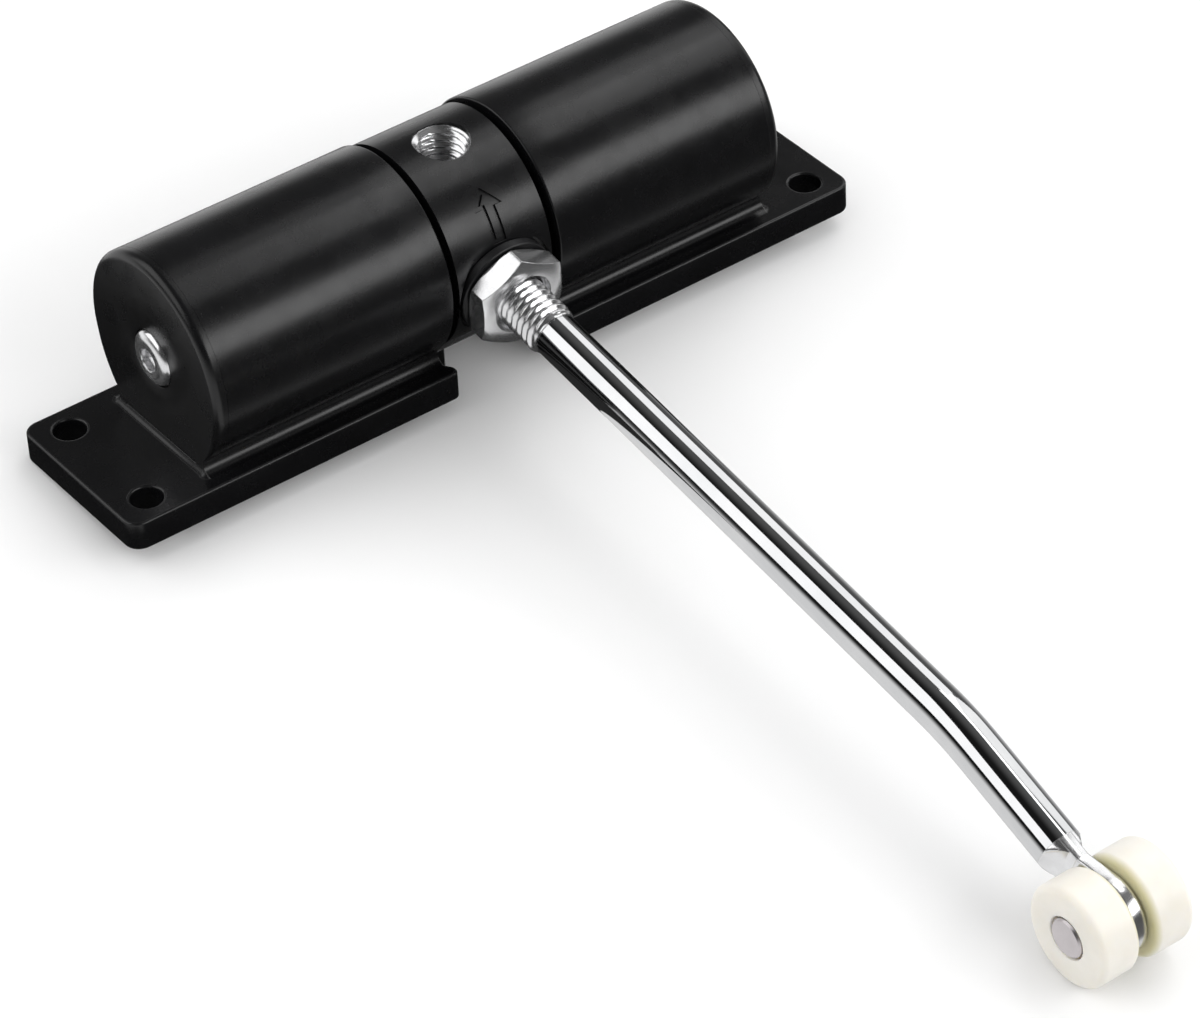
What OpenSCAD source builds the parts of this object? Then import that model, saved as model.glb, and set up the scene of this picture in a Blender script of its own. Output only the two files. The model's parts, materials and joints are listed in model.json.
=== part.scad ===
// Door closer: a base plate cast in one with two spring barrels, a sprung drum
// between the barrels, and a bent arm that ends in two rollers.
// Millimetres, +Z up. The origin is on the mounting face, at the plate's centre.
// X runs along the barrels, and the arm points towards -Y.

/* [Plate] */
// Length of the base plate
plate_l = 160; // [150:1:180]
// Width of the base plate
plate_w = 36.5; // [36:0.5:44]
// Thickness of the base plate
plate_t = 5.8; // [4.5:0.1:6.5]
// Radius of the plate's corners seen from above
plate_corner_r = 2.5; // [1:0.5:5]
// Diameter of the four fixing holes
fixing_d = 6; // [4:0.5:7]
// Distance between fixing holes along the plate
fixing_span_x = 146.4; // [140:0.2:147]
// Distance between fixing holes across the plate
fixing_span_y = 24.8; // [22:0.2:26]
// Half width of the arm notch in the front edge
notch_half_w = 11; // [10.6:0.1:11.4]

/* [Barrels] */
// Outer radius of the spring barrels
barrel_r = 20; // [19.8:0.1:21]
// Height of the barrel axis over the mounting face
axis_z = 23.2; // [23:0.1:25]
// Distance from the centre to a barrel's outer end
barrel_end_x = 61.9; // [58:0.1:66]
// Distance from the centre to a barrel's inner end
barrel_inner_x = 11.7; // [11.7:0.1:12.5]
// Wall thickness of the barrels
barrel_wall = 3.2; // [2.5:0.1:3.4]

/* [Drum] */
// Radius of the drum
drum_r = 19.5; // [19.2:0.1:19.6]
// Width of the drum
drum_w = 20.3; // [19.6:0.1:20.6]
// Angle of the first spare tapped hole above the front
spare_hole_a = 85; // [80:1:90]
// Angle of the second spare tapped hole above the front
spare_hole_b = 145; // [140:1:150]

/* [Springs] */
// Wire diameter of the torsion springs
wire_d = 3.4; // [2.6:0.2:3.4]
// Number of coils in each spring
coils = 8; // [6:1:8]

/* [Arm] */
// Angle of the arm below the horizontal at rest
droop = 8.8; // [0:0.1:12]
// Diameter of the bright rod
rod_d = 8.5; // [7.5:0.1:9]
// Distance from the drum axis to the point of the bend
bend_at = 145.5; // [120:0.5:160]
// Angle of the bend
bend_angle = 11.2; // [5:0.1:20]
// Distance from the point of the bend to the roller pin
bend_to_pin = 41.1; // [34:0.1:50]
// Thickness of the flattened tab
tab_t = 2.6; // [2:0.1:2.8]

/* [Rollers] */
// Radius of the rollers
roller_r = 9.45; // [8.5:0.05:10.5]
// Width of one roller
roller_w = 8; // [7:0.1:9]

/* [Hidden] */
$fn = 64;
eps = 0.05;
thick = 2 * eps;

// the part of the casting around the drum
neck_half_y = 13.3;
neck_fillet_r = 2.2;
neck_fillet_z = plate_t + neck_fillet_r;
scoop_r = 20;
web_t = 1;
notch_back_y = 9.1;
notch_fillet_r = 4.2;
notch_lip_r = 1.6;

// barrels, caps and what holds them together
bore_r = barrel_r - barrel_wall;
end_round_r = 2.3;
cap_flange_t = 2.4;
cap_seam_x = barrel_end_x - cap_flange_t;
cap_spigot_l = 5;
cap_gap = 0.05;
cap_seat_gap = 0.02;
inner_wall_t = 4;
inner_wall_x = barrel_inner_x + inner_wall_t;
bush_r = 11;
dowel_r = 1;
dowel_fit = 0.02;
dowel_l = 4.4;
dowel_at_r = barrel_r - barrel_wall / 2;
dowel_angle = 90;

// axle and end screws
axle_r = 4;
axle_half_l = barrel_end_x - 3.9;
axle_fit = 0.05;
screw_r = 3;
screw_head_r = 5.5;
screw_head_out = 2;
screw_sink = 0.9;
screw_sink_r = 6.2;
screw_shank_l = 12;
hex_key_af = 4;
hex_key_depth = 1.7;
hex_corner = 1 / cos(30);

// drum, its journals and the hubs on them
drum_half_w = drum_w / 2;
journal_r = 9;
hub_r = 14.5;
hub_inner_x = inner_wall_x + 0.3;
hub_w = 4;
hub_outer_x = hub_inner_x + hub_w;
key_w = 3;
clip_r = 7;
clip_t = 1;
clip_groove_r = 3.5;
clip_gap = 0.1;
gap_washer_r = 14;
gap_washer_t = 1.3;
gap_washer_x = barrel_inner_x - gap_washer_t - 0.1;

// tapped holes and the arrow on the drum
tap_r = 4.95;
tap_mouth_r = 5.3;
// the mouth is cut down to this height, below the drum's curve at its sides
tap_mouth_floor = 18.5;
tap_floor = 9.2;
stud_r = 4.93;
stud_fit = 0.04;
stud_start = 7;
spot_face = 18;
arrow_a = 34.6;
arrow_len = 10.4;
arrow_head_l = 3.9;
arrow_head_w = 5.8;
arrow_shaft_w = 2.7;
arrow_line = 0.75;
arrow_depth = 0.45;

// springs: the coil radius, and the pins that hold the wire's ends
coil_r = 14.2;
coil_start = hub_outer_x + 3.4;
coil_end = cap_seam_x - cap_spigot_l - 2.5;
wire_steps = 16;
wire_sides = 8;
peg_r = 1.8;
peg_turn = 8.5;
peg_reach = 1.4;
peg_root = 3;

// washer, nut and stud
washer_r = 9.6;
washer_t = 1.8;
nut_af = 17;
nut_t = 5;
nut_turn = 2.3;
nut_chamfer_drop = 1.1;
stud_end = 34.2;
bend_r = 60;
bend_overlap = 0.6;

// tab, pin and what is on the pin
shoulder_before_pin = 15.5;
shoulder_l = 3.8;
tab_end_r = 7.4;
tab_half_h = rod_d / 2 - 0.1;
pin_r = 2.5;
pin_fit = 0.02;
roller_fit = 0.05;
spacer_t = 0.4;
spacer_r = 4;
roller_inner_x = tab_t / 2 + spacer_t + 0.05;
roller_outer_x = roller_inner_x + roller_w;
roller_round = 1.2;
roller_sink_r = 4.3;
roller_sink = 1.15;
head_x = roller_outer_x - roller_sink + 0.1;
head_r = 3.6;
head_out = 0.15;
end_washer_t = 0.6;

// ---- helpers ----

// Stands children on the barrel axis with their own Z along +X.
module on_axle() translate([0, 0, axis_z]) rotate([0, 90, 0]) children();

// Makes a second copy on the other side of the centre.
module both_sides() {
    children();
    mirror([1, 0, 0]) children();
}

// A tube or disc on the barrel axis, between two distances from the centre.
module ring(x1, x2, r, hole = 0) on_axle() translate([0, 0, x1]) difference() {
    cylinder(h = x2 - x1, r = r);
    if (hole > 0) translate([0, 0, -eps]) cylinder(h = x2 - x1 + thick, r = hole);
}

// Children stand at a distance off the barrel axis, with their Z along +X.
module off_axis(r, angle) on_axle() rotate([0, 0, angle]) translate([r, 0, 0]) children();

// Z out from the drum axis, at an angle above the front.
module radial(angle) translate([0, 0, axis_z]) rotate([90 - angle, 0, 0]) children();

// Z along the arm, Y square to it and up.
module arm_frame() radial(-droop) children();

// The same past the bend, starting where the bend ends.
bend_tangent = bend_r * tan(bend_angle / 2);
bend_start = bend_at - bend_tangent;
bend_drop = bend_r * (1 - cos(bend_angle));
bend_run = bend_r * sin(bend_angle);
pin_after_bend = bend_to_pin - bend_tangent;
shoulder_at = pin_after_bend - shoulder_before_pin;

module past_bend() arm_frame() translate([0, -bend_drop, bend_start + bend_run])
    rotate([bend_angle, 0, 0]) children();

// Children on the roller pin, with their own Z along +X.
module on_pin() past_bend() translate([0, 0, pin_after_bend]) rotate([0, 90, 0]) children();

module pin_ring(x1, x2, r, hole = 0) on_pin() translate([0, 0, x1]) difference() {
    cylinder(h = x2 - x1, r = r);
    if (hole > 0) translate([0, 0, -eps]) cylinder(h = x2 - x1 + thick, r = hole);
}

// ---- casting ----

module plate_outline() {
    l = plate_l / 2 - plate_corner_r;
    w = plate_w / 2 - plate_corner_r;
    square([2 * l, plate_w], center = true);
    square([plate_l, 2 * w], center = true);
    for (x = [-l, l], y = [-w, w]) translate([x, y]) circle(r = plate_corner_r);
}

// The notch for the arm: round inner corners, and lips rounded off at the front edge.
module notch_outline() {
    inner = notch_half_w - notch_fillet_r;
    translate([-inner, -plate_w]) square([2 * inner, plate_w - notch_back_y]);
    translate([-notch_half_w, -plate_w])
        square([2 * notch_half_w, plate_w - notch_back_y - notch_fillet_r]);
    for (x = [-inner, inner]) translate([x, -notch_back_y - notch_fillet_r]) circle(r = notch_fillet_r);
    for (side = [-1, 1]) difference() {
        translate([side * (notch_half_w + notch_lip_r / 2 - eps), -plate_w / 2 + notch_lip_r / 2 - eps])
            square([notch_lip_r + thick, notch_lip_r + thick], center = true);
        translate([side * (notch_half_w + notch_lip_r), -plate_w / 2 + notch_lip_r])
            circle(r = notch_lip_r);
    }
}

// Section across the barrels: the neck and its fillets onto the plate.
module neck_section() difference() {
    foot = neck_half_y + neck_fillet_r;
    translate([-foot, plate_t - 1]) square([2 * foot, neck_fillet_r + 1]);
    for (side = [-1, 1]) translate([side * foot, neck_fillet_z]) circle(r = neck_fillet_r);
}

module neck() {
    translate([-barrel_end_x, 0, 0]) rotate([90, 0, 90]) linear_extrude(2 * barrel_end_x) {
        neck_section();
        translate([-neck_half_y, 0]) square([2 * neck_half_y, axis_z - bore_r * 0.5]);
    }
}

// The end cap's seat, from the plate's top face up.
module cap_seat() intersection() {
    ring(cap_seam_x, barrel_end_x + 1, barrel_r + cap_seat_gap);
    translate([0, -plate_w, plate_t]) cube([plate_l, 2 * plate_w, 3 * barrel_r]);
}

// What stands open at the centre: the drum's space, and the pocket under the thin web.
module drum_space() {
    ring(-barrel_inner_x, barrel_inner_x, scoop_r);
    translate([-barrel_inner_x, -plate_w, plate_t])
        cube([2 * barrel_inner_x, 2 * plate_w, 2 * barrel_r]);
}

module under_web() difference() {
    translate([-notch_half_w, -notch_back_y - eps, -1])
        cube([2 * notch_half_w, 2 * notch_back_y, plate_t]);
    ring(-barrel_inner_x, barrel_inner_x, scoop_r + web_t);
}

module body_casting() color("#262626") difference() {
    union() {
        linear_extrude(plate_t) plate_outline();
        neck();
        both_sides() ring(barrel_inner_x, cap_seam_x, barrel_r);
    }
    drum_space();
    under_web();
    translate([0, 0, -1]) linear_extrude(plate_t + 2) notch_outline();
    both_sides() {
        ring(inner_wall_x, barrel_end_x, bore_r);
        ring(barrel_inner_x - 1, inner_wall_x + 1, bush_r);
        cap_seat();
        dowel(dowel_r);
    }
    for (x = [-1, 1], y = [-1, 1])
        translate([x * fixing_span_x / 2, y * fixing_span_y / 2, -1]) cylinder(h = plate_t + 2, d = fixing_d);
}

// Cap half profile: x is the distance from the axle, y the distance out of the seam.
module cap_profile() {
    flange_in = barrel_r - end_round_r;
    translate([0, -cap_spigot_l]) square([bore_r - cap_gap, cap_spigot_l + eps]);
    square([barrel_r, cap_flange_t - end_round_r]);
    square([flange_in, cap_flange_t]);
    intersection() {
        translate([flange_in, cap_flange_t - end_round_r]) circle(r = end_round_r);
        square([barrel_r, cap_flange_t]);
    }
}

module end_cap() color("#303030") difference() {
    on_axle() translate([0, 0, cap_seam_x]) rotate_extrude() cap_profile();
    ring(cap_seam_x - cap_spigot_l - 1, axle_half_l + eps, axle_r + 0.02);
    ring(axle_half_l, barrel_end_x, screw_r + 0.2);
    ring(barrel_end_x - screw_sink, barrel_end_x + 1, screw_sink_r);
    dowel(dowel_r);
    translate([0, -plate_w, -1]) cube([plate_l, 2 * plate_w, plate_t + cap_seat_gap + 1]);
    off_axis(coil_r, peg_turn) translate([0, 0, cap_seam_x - cap_spigot_l - 1])
        cylinder(h = 1 + peg_root, r = peg_r);
}

module end_cap_right() end_cap();
module end_cap_left() mirror([1, 0, 0]) end_cap();

module dowel(r) off_axis(dowel_at_r, dowel_angle)
    translate([0, 0, cap_seam_x - dowel_l + cap_flange_t / 2]) cylinder(h = dowel_l, r = r);

module cap_dowels() color("#a8a8a8") both_sides() dowel(dowel_r - dowel_fit);

// Half profile of the button head: a rim, then a dome down to the flat on top.
module button_profile() {
    rim = 0.8;
    top = screw_sink + screw_head_out;
    dome = top - rim;
    square([screw_head_r, rim]);
    square([screw_head_r - dome, top]);
    intersection() {
        translate([screw_head_r - dome, rim]) circle(r = dome);
        square([screw_head_r, top]);
    }
}

module end_screws() color("#5a5a5a") both_sides() difference() {
    union() {
        ring(barrel_end_x - screw_sink - screw_shank_l, barrel_end_x - screw_sink + eps, screw_r);
        on_axle() translate([0, 0, barrel_end_x - screw_sink]) rotate_extrude() button_profile();
    }
    on_axle() translate([0, 0, barrel_end_x + screw_head_out - hex_key_depth])
        cylinder(h = hex_key_depth + 1, d = hex_key_af * hex_corner, $fn = 6);
}

module axle() color("#b4b4b4") difference() {
    ring(-axle_half_l, axle_half_l, axle_r);
    both_sides() {
        ring(barrel_end_x - screw_sink - screw_shank_l - 1, axle_half_l + 1, screw_r + 0.02);
        ring(hub_outer_x + clip_gap, hub_outer_x + clip_gap + clip_t, axle_r + 1, clip_groove_r);
    }
}

module axle_clips() color("#8c8c8c") both_sides()
    ring(hub_outer_x + clip_gap, hub_outer_x + clip_gap + clip_t, clip_r, clip_groove_r);

module bush_right() color("#b08d57") ring(barrel_inner_x, inner_wall_x, bush_r - 0.02, journal_r + axle_fit);
module bush_left() mirror([1, 0, 0]) bush_right();

module thrust_washer_right() color("#1c1c1c")
    ring(gap_washer_x, gap_washer_x + gap_washer_t, gap_washer_r, journal_r + 0.2);
module thrust_washer_left() mirror([1, 0, 0]) thrust_washer_right();

// ---- springs ----

module anchor_pins() color("#a8a8a8") both_sides() off_axis(coil_r, peg_turn)
    translate([0, 0, coil_end - peg_reach])
        cylinder(h = cap_seam_x - cap_spigot_l + peg_root - coil_end + peg_reach, r = peg_r - 0.02);

module drive_pins() color("#a8a8a8") both_sides() off_axis(coil_r, -peg_turn)
    translate([0, 0, hub_outer_x - peg_root])
        cylinder(h = coil_start + peg_reach - hub_outer_x + peg_root, r = peg_r - 0.02);

// One ring of wire corners at step i along the coil.
function wire_corner(i, k) = let (
    turn = 360 * i / wire_steps,
    side = 360 * k / wire_sides,
    r = coil_r + wire_d / 2 * cos(side),
    x = coil_start + (coil_end - coil_start) * i / (coils * wire_steps) + wire_d / 2 * sin(side)
) [x, r * sin(turn), axis_z - r * cos(turn)];

module spring_right() color("#6e6e6e") {
    steps = coils * wire_steps;
    corners = [for (i = [0:steps], k = [0:wire_sides - 1]) wire_corner(i, k)];
    sides = [for (i = [0:steps - 1], k = [0:wire_sides - 1]) let (n = (k + 1) % wire_sides)
        [i * wire_sides + k, (i + 1) * wire_sides + k, (i + 1) * wire_sides + n, i * wire_sides + n]];
    start_face = [for (k = [0:wire_sides - 1]) k];
    end_face = [for (k = [wire_sides - 1:-1:0]) steps * wire_sides + k];
    polyhedron(points = corners, faces = concat(sides, [start_face, end_face]), convexity = 10);
}
module spring_left() mirror([1, 0, 0]) spring_right();

// ---- drum ----

// Outline of the arrow, pointing along +Y from the middle of its length.
module arrow_shape(inset) {
    tip = arrow_len / 2 - inset * 1.9;
    head_y = arrow_len / 2 - arrow_head_l + inset;
    head_x = arrow_head_w / 2 - inset * 1.9;
    shaft_x = arrow_shaft_w / 2 - inset;
    polygon([[0, tip], [-head_x, head_y], [head_x, head_y]]);
    translate([-shaft_x, -arrow_len / 2 + inset]) square([2 * shaft_x, arrow_len - arrow_head_l]);
}

module arrow_groove() intersection() {
    radial(arrow_a) linear_extrude(2 * drum_r) difference() {
        arrow_shape(0);
        arrow_shape(arrow_line);
    }
    ring(-drum_half_w, drum_half_w, drum_r + 1, drum_r - arrow_depth);
}

module tapped_hole(angle) radial(angle) {
    translate([0, 0, tap_floor]) cylinder(h = drum_r, r = tap_r);
    translate([0, 0, tap_mouth_floor]) cylinder(h = 3, r = tap_mouth_r);
    translate([0, 0, tap_mouth_floor - tap_mouth_r + tap_r])
        cylinder(h = tap_mouth_r - tap_r + eps, r1 = tap_r, r2 = tap_mouth_r + eps);
}

module drum() color("#2c2c2c") difference() {
    union() {
        ring(-drum_half_w, drum_half_w, drum_r);
        ring(-hub_outer_x, hub_outer_x, journal_r);
    }
    ring(-hub_outer_x - 1, hub_outer_x + 1, axle_r + axle_fit);
    tapped_hole(spare_hole_a);
    tapped_hole(spare_hole_b);
    arm_frame() {
        translate([0, 0, stud_start - 1]) cylinder(h = drum_r, r = stud_r + stud_fit);
        translate([0, 0, spot_face]) cylinder(h = 4, r = drum_half_w);
    }
    arrow_groove();
    both_sides() keyway();
}

module keyway() translate([hub_inner_x, -key_w / 2, axis_z + journal_r - key_w / 2])
    cube([hub_w + 1, key_w, key_w]);

module hub_keys() color("#9a9a9a") both_sides()
    translate([hub_inner_x, -key_w / 2 + 0.02, axis_z + journal_r - key_w / 2 + 0.02])
        cube([hub_w, key_w - 0.04, key_w - 0.04]);

module hub_right() color("#4a4a4a") difference() {
    ring(hub_inner_x, hub_outer_x, hub_r, journal_r + 0.02);
    keyway();
    off_axis(coil_r, -peg_turn) translate([0, 0, hub_outer_x - peg_root]) cylinder(h = hub_w, r = peg_r);
}
module hub_left() mirror([1, 0, 0]) hub_right();

// ---- arm ----

module arm_washer() color("#1a1a1a") arm_frame() translate([0, 0, spot_face]) difference() {
    cylinder(h = washer_t, r = washer_r);
    translate([0, 0, -eps]) cylinder(h = washer_t + thick, r = stud_r + 0.1);
}

// Thin hexagon nut, its corners cut back by a cone at each face.
module lock_nut() color("#c8c8c8") arm_frame() translate([0, 0, spot_face + washer_t])
    rotate([0, 0, nut_turn]) difference() {
        corner_r = nut_af / 2 * hex_corner;
        flat_r = nut_af / 2 - 0.2;
        intersection() {
            rotate([0, 0, 30]) cylinder(h = nut_t, r = corner_r, $fn = 6);
            rotate_extrude() polygon([[0, 0], [flat_r, 0], [corner_r + 0.1, nut_chamfer_drop],
                [corner_r + 0.1, nut_t - nut_chamfer_drop], [flat_r, nut_t], [0, nut_t]]);
        }
        translate([0, 0, -eps]) cylinder(h = nut_t + thick, r = stud_r + 0.02);
    }

// Tab seen square on: Z of the arm runs up the page.
module tab_outline() {
    translate([0, pin_after_bend]) circle(r = tab_end_r);
    polygon([[-tab_half_h, shoulder_at], [tab_half_h, shoulder_at],
        [tab_half_h, pin_after_bend - tab_end_r - 2], [tab_end_r * 0.93, pin_after_bend - 2.7],
        [-tab_end_r * 0.93, pin_after_bend - 2.7], [-tab_half_h, pin_after_bend - tab_end_r - 2]]);
}

module arm_rod() color("#d8d8d8") {
    rod_r = rod_d / 2;
    // bending draws the rod down a little
    drawn_r = rod_r - 0.02;
    arm_frame() {
        translate([0, 0, stud_start]) cylinder(h = stud_end - stud_start, r = stud_r);
        translate([0, 0, stud_end - 1]) cylinder(h = bend_start - stud_end + 1, r = rod_r);
        translate([0, -bend_r, bend_start]) rotate([90, 0, 90])
            rotate_extrude(angle = bend_angle) translate([bend_r, 0]) circle(r = rod_r);
    }
    past_bend() {
        translate([0, 0, -bend_overlap]) cylinder(h = shoulder_at + bend_overlap + eps, r = drawn_r);
        // the shoulder: the rod pressed in from both sides
        intersection() {
            translate([0, 0, shoulder_at]) cylinder(h = shoulder_l, r = drawn_r);
            rotate([90, 0, 0]) translate([0, 0, -rod_d]) linear_extrude(2 * rod_d)
                polygon([[-rod_r, shoulder_at - eps], [rod_r, shoulder_at - eps],
                    [tab_t / 2, shoulder_at + shoulder_l], [-tab_t / 2, shoulder_at + shoulder_l]]);
        }
        rotate([90, 0, 90]) translate([0, 0, -tab_t / 2]) linear_extrude(tab_t) difference() {
            tab_outline();
            translate([0, pin_after_bend]) circle(r = pin_r + pin_fit);
        }
    }
}

module roller_pin() color("#b9aeb0") {
    pin_ring(-head_x - eps, roller_outer_x + head_out, pin_r);
    pin_ring(-roller_outer_x - head_out, -head_x, head_r);
    pin_ring(head_x + end_washer_t, roller_outer_x + head_out, head_r - 0.4);
}

module pin_end_washer() color("#9c9c9c") pin_ring(head_x, head_x + end_washer_t, head_r, pin_r + pin_fit);

module roller_washers() color("#a0a0a0") both_sides()
    pin_ring(tab_t / 2, tab_t / 2 + spacer_t, spacer_r, pin_r + pin_fit);

// Half profile: x is the distance from the pin, y the distance along it.
module roller_profile() difference() {
    union() {
        translate([0, roller_round]) square([roller_r, roller_w - 2 * roller_round]);
        square([roller_r - roller_round, roller_w]);
        for (y = [roller_round, roller_w - roller_round])
            translate([roller_r - roller_round, y]) circle(r = roller_round);
    }
    translate([-eps, -eps]) square([pin_r + roller_fit + eps, roller_w + thick]);
    translate([0, roller_w - roller_sink]) square([roller_sink_r, roller_sink + 1]);
}

module roller_right() color("#efe9dc") on_pin() translate([0, 0, roller_inner_x])
    rotate_extrude() roller_profile();
module roller_left() mirror([1, 0, 0]) roller_right();

body_casting();
end_cap_left();
end_cap_right();
end_screws();
axle();
axle_clips();
bush_left();
bush_right();
thrust_washer_left();
thrust_washer_right();
spring_left();
spring_right();
anchor_pins();
cap_dowels();
drum();
hub_left();
hub_right();
hub_keys();
drive_pins();
arm_washer();
lock_nut();
arm_rod();
roller_pin();
roller_washers();
pin_end_washer();
roller_left();
roller_right();
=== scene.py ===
"""The looks of the door closer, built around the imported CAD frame.

Everything is in the CAD frame: X along the spring barrels, the arm points towards -Y, +Z out of
the mounting face. Sizes in this file are in millimetres and go into the scene in metres.
"""

import json
import math

import bmesh
import bpy
from mathutils import Matrix, Vector


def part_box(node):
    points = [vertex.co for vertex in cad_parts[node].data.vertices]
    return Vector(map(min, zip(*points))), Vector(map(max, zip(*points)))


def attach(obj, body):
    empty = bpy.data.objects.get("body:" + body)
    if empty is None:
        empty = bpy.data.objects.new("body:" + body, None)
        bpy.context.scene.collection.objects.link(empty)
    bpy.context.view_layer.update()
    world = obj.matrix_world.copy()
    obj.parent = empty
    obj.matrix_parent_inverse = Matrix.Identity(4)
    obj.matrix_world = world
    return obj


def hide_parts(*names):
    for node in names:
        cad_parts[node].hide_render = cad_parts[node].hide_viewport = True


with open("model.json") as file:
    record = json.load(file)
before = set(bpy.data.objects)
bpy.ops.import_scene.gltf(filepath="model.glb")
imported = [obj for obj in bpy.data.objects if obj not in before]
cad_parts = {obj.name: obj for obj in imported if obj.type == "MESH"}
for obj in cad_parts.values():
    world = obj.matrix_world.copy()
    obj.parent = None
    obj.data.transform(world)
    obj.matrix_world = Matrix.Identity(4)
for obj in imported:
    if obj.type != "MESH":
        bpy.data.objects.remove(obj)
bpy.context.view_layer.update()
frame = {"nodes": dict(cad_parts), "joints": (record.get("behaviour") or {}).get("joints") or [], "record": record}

MM = 0.001
TAU = 2 * math.pi


# ---- sizes, from the frame where it has them ----


def box_mm(node):
    """The lowest and highest corner of a CAD node, in millimetres."""
    return [[c / MM for c in corner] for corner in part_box(node)]


def joint_mm(name):
    """A joint's position, in millimetres."""
    joint = next(j for j in frame["joints"] if j["name"] == name)
    return Vector(joint["pos_m"]) / MM


AXIS_Z = joint_mm("arm_swing").z
PIN = joint_mm("left_roller_spin")

PLATE_HALF_L = box_mm("body_casting")[1][0]
PLATE_HALF_W = 18.25
PLATE_T = 5.8
PLATE_CORNER = 3.1
PLATE_EDGE = 0.45
HOLE_X, HOLE_Y, HOLE_R = 73.2, 12.4, 3.0

BARREL_R = 20.0
BARREL_IN = 11.7
BARREL_BORE = 16.8
INNER_WALL = 4.0
BUSH_R = 11.0
CAP_OUT = box_mm("end_cap_right")[1][0]
CAP_FLANGE = 2.4
CAP_ROUND = 1.6
CAP_SPIGOT_L = 5
SCREW_HOLE_R = 3.2
SCREW_SEAT_R = 5.6
SCREW_SINK = 0.9
CAP_SEAM = CAP_OUT - CAP_FLANGE
SEAM = 0.03
LIP_ROUND = 0.35

NOTCH_HALF = 11.7
NOTCH_LIP_HALF = 10.4
NOTCH_BACK = 9.1
NOTCH_INNER_R = 4.2
NOTCH_LIP_R = 1.3
SWELL_START, SWELL_L = 0.2, 2.8
WEB_IN, WEB_OUT = 20.0, 21.0
NECK_HALF = 13.3
NECK_FILLET = 2.2
END_FILLET = 1.1
NECK_SINK = 0.15
SHARP_ANGLE = math.radians(32)

DROOP = math.radians(8.8)
SPARE_ANGLES = (85, 145)
TAP_R, TAP_BOTTOM = 4.95, 9.3
MOUTH_R, MOUTH_FLOOR = 5.3, 18.5
SPOT_FACE = 18.0
WASHER_R, WASHER_T, WASHER_HOLE_R = 9.6, 1.8, 5.1
NUT_AF, NUT_T, NUT_TURN = 17.0, 5.0, 32.3
THREAD_R, THREAD_PITCH, THREAD_DEPTH = 4.93, 1.5, 0.62
STUD_START, STUD_END = 7.0, 34.2
ROD_R = 4.25
BEND_AT, BEND_R, BEND = 145.5, 60.0, math.radians(11.2)
TAB_HALF_T = 1.3
TAB_END_R = 7.4
SHOULDER_BEFORE_PIN, SHOULDER_L = 14.0, 3.2

ROLLER_R, ROLLER_IN, ROLLER_OUT = 9.45, 1.75, 9.75
ROLLER_ROUND = 1.3
ROLLER_SINK, ROLLER_SINK_R = 1.15, 3.95
PIN_R, HEAD_R = 2.5, 3.6


# ---- mesh helpers ----


def mesh_object(name, bm, smooth=True):
    """Turns a bmesh in millimetres into an object in metres."""
    bmesh.ops.recalc_face_normals(bm, faces=bm.faces)
    bmesh.ops.scale(bm, vec=(MM, MM, MM), verts=bm.verts)
    mesh = bpy.data.meshes.new(name)
    bm.to_mesh(mesh)
    bm.free()
    if smooth:
        mesh.shade_smooth()
        mesh.set_sharp_from_angle(angle=SHARP_ANGLE)
    obj = bpy.data.objects.new(name, mesh)
    bpy.context.scene.collection.objects.link(obj)
    return obj


def add_rings(bm, rings, closed=False, cap=False):
    """Skins a list of rings, each a list of points with the same count."""
    rows = [[bm.verts.new(p) for p in ring] for ring in rings]
    count = len(rows[0])
    pairs = list(zip(rows, rows[1:]))
    if closed:
        pairs.append((rows[-1], rows[0]))
    for a, b in pairs:
        for k in range(count):
            n = (k + 1) % count
            bm.faces.new((a[k], a[n], b[n], b[k]))
    if cap:
        bm.faces.new(list(reversed(rows[0])))
        bm.faces.new(rows[-1])


def lathe(bm, place, profile, steps=96, closed=True):
    """Turns a profile of (distance along, radius) about the Z axis of the matrix place."""
    rings = []
    for along, radius in profile:
        ring = []
        for k in range(steps):
            turn = TAU * k / steps
            r = radius(turn) if callable(radius) else radius
            ring.append(place @ Vector((r * math.cos(turn), r * math.sin(turn), along)))
        rings.append(ring)
    add_rings(bm, rings, closed=closed, cap=not closed)


def arc(cx, cy, r, start, end, steps):
    """Points on an arc, angles in degrees."""
    turns = [math.radians(start + (end - start) * i / steps) for i in range(steps + 1)]
    return [(cx + r * math.cos(t), cy + r * math.sin(t)) for t in turns]


def axle_place(side=1):
    """Z along the barrel axis, out to one side."""
    return Matrix.Translation((0, 0, AXIS_Z)) @ Matrix.Rotation(side * math.pi / 2, 4, "Y")


def radial_place(angle):
    """Z out from the drum axis at an angle above the front, Y square to it."""
    return Matrix.Translation((0, 0, AXIS_Z)) @ Matrix.Rotation(math.pi / 2 - angle, 4, "X")


def arm_place():
    return radial_place(-DROOP)


BEND_TANGENT = BEND_R * math.tan(BEND / 2)
BEND_START = BEND_AT - BEND_TANGENT


def bent_place(along):
    """The arm's frame at a distance past the end of the bend."""
    end = Vector((0, -BEND_R * (1 - math.cos(BEND)), BEND_START + BEND_R * math.sin(BEND)))
    turn = Matrix.Rotation(BEND, 4, "X")
    return arm_place() @ Matrix.Translation(end) @ turn @ Matrix.Translation((0, 0, along))


def pin_place(side=1):
    """Z along the roller pin, out to one side."""
    return Matrix.Translation((0, PIN.y, PIN.z)) @ Matrix.Rotation(side * math.pi / 2, 4, "Y")


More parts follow.
